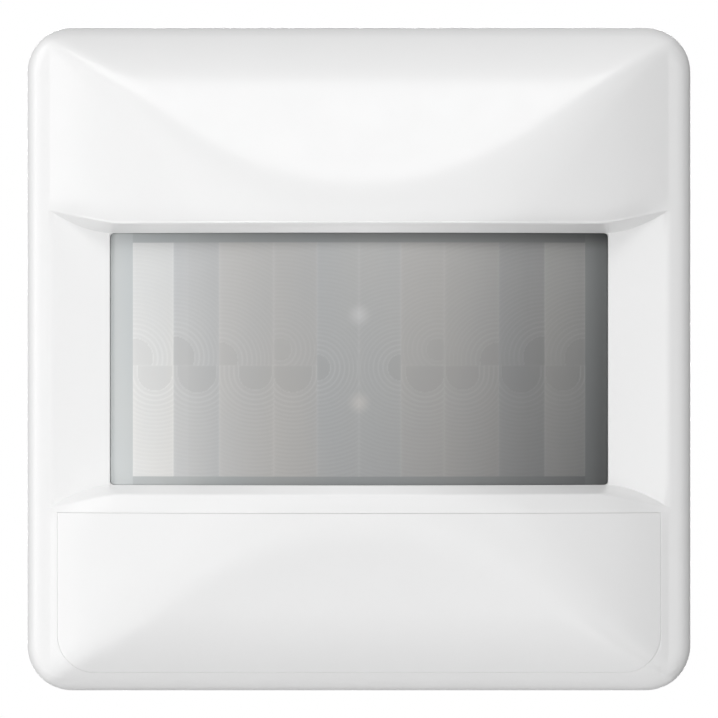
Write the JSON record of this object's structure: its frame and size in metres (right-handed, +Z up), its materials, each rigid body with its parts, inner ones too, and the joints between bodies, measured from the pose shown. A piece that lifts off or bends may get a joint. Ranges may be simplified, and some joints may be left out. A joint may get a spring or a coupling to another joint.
{
  "type": "motion sensor",
  "caption": "Flush wall motion sensor: square crowned white cover with a wide curved ribbed lens, pull-off lower panel over dials and a switch, round box insert behind.",
  "frame": {"origin": "centre of the support frame's wall face, on the wall plane", "axes": "+Y points into the wall along the insert's axis, -Y is the viewer's side, +Z is up, +X is the viewer's right"},
  "size_m": [0.07, 0.043, 0.07],
  "materials": {
    "cover_white": "gloss",
    "lens_milky": "satin translucent",
    "frame_grey": "matt",
    "housing_light": "matt",
    "fascia_light": "matt",
    "board_green": "satin solder resist",
    "holder_ivory": "matt",
    "can_metal": "plated",
    "pir_window": "coated silicon filter",
    "light_pipe": "clear",
    "chip_black": "matt",
    "led_cream": "clear over phosphor",
    "trimmer_blue": "matt",
    "dial_white": "satin",
    "slider_white": "satin",
    "button_grey": "satin",
    "screw_zinc": "zinc plated",
    "pin_gold": "gold flash",
    "frame_steel": "galvanised",
    "clip_spring": "spring steel",
    "insert_dark": "matt",
    "lid_dark": "matt",
    "socket_black": "matt",
    "relay_blue": "satin",
    "film_cap_yellow": "satin",
    "can_sleeve": "shrink sleeve",
    "varistor_blue": "dipped lacquer",
    "fuse_ceramic": "glazed",
    "choke_ferrite": "ferrite and lacquered wire",
    "terminal_grey": "matt",
    "cage_brass": "plain"
  },
  "bodies": {
    "base": {"front_cover": "cover_white", "fresnel_lens": "lens_milky", "lens_frame": "frame_grey", "head_housing": "housing_light", "control_fascia": "fascia_light", "sensor_board": "board_green", "pir_holder": "holder_ivory", "pir_cans": "can_metal", "pir_windows": "pir_window", "day_light_pipe": "light_pipe", "led_light_pipe": "light_pipe", "photodiode": "chip_black", "status_led": "led_cream", "trimmer_bodies": "trimmer_blue", "mode_switch_body": "chip_black", "button_switch": "chip_black", "controller_chip": "chip_black", "board_screws": "screw_zinc", "plug_body": "socket_black", "plug_pins": "pin_gold", "support_frame": "frame_steel", "frame_screws": "screw_zinc", "retaining_clips": "clip_spring", "insert_housing": "insert_dark", "insert_lid": "lid_dark", "socket_block": "socket_black", "power_board": "board_green", "relay": "relay_blue", "filter_capacitor": "film_cap_yellow", "bulk_capacitors": "can_sleeve", "varistor": "varistor_blue", "fuse_body": "fuse_ceramic", "fuse_caps": "screw_zinc", "choke": "choke_ferrite", "terminal_block": "terminal_grey", "terminal_cages": "cage_brass", "terminal_screws": "screw_zinc"},
    "panel": {"setting_cover": "cover_white", "panel_pegs": "cover_white"},
    "brightness_dial": {"dial_brightness": "dial_white"},
    "time_dial": {"dial_time": "dial_white"},
    "range_dial": {"dial_range": "dial_white"},
    "mode_knob": {"mode_slider": "slider_white"},
    "button": {"test_button": "button_grey"}
  },
  "joints": [
    {"name": "panel_pull", "type": "slide", "parent": "base", "child": "panel", "axis": [0, -1, 0], "range_m": [0, 0.012]},
    {"name": "brightness_turn", "type": "hinge", "parent": "base", "child": "brightness_dial", "pos_m": [-0.0185, -0.009, -0.0215], "axis": [0, -1, 0], "range_deg": [-135, 135]},
    {"name": "time_turn", "type": "hinge", "parent": "base", "child": "time_dial", "pos_m": [-0.0085, -0.009, -0.0215], "axis": [0, -1, 0], "range_deg": [-135, 135]},
    {"name": "range_turn", "type": "hinge", "parent": "base", "child": "range_dial", "pos_m": [0.0015, -0.009, -0.0215], "axis": [0, -1, 0], "range_deg": [-135, 135]},
    {"name": "mode_slide", "type": "slide", "parent": "base", "child": "mode_knob", "axis": [1, 0, 0], "range_m": [-0.002, 0.002]},
    {"name": "button_press", "type": "slide", "parent": "base", "child": "button", "axis": [0, 1, 0], "range_m": [0, 0.0005], "stiffness_N_per_m": 1500, "springref_m": -0.0002}
  ]
}
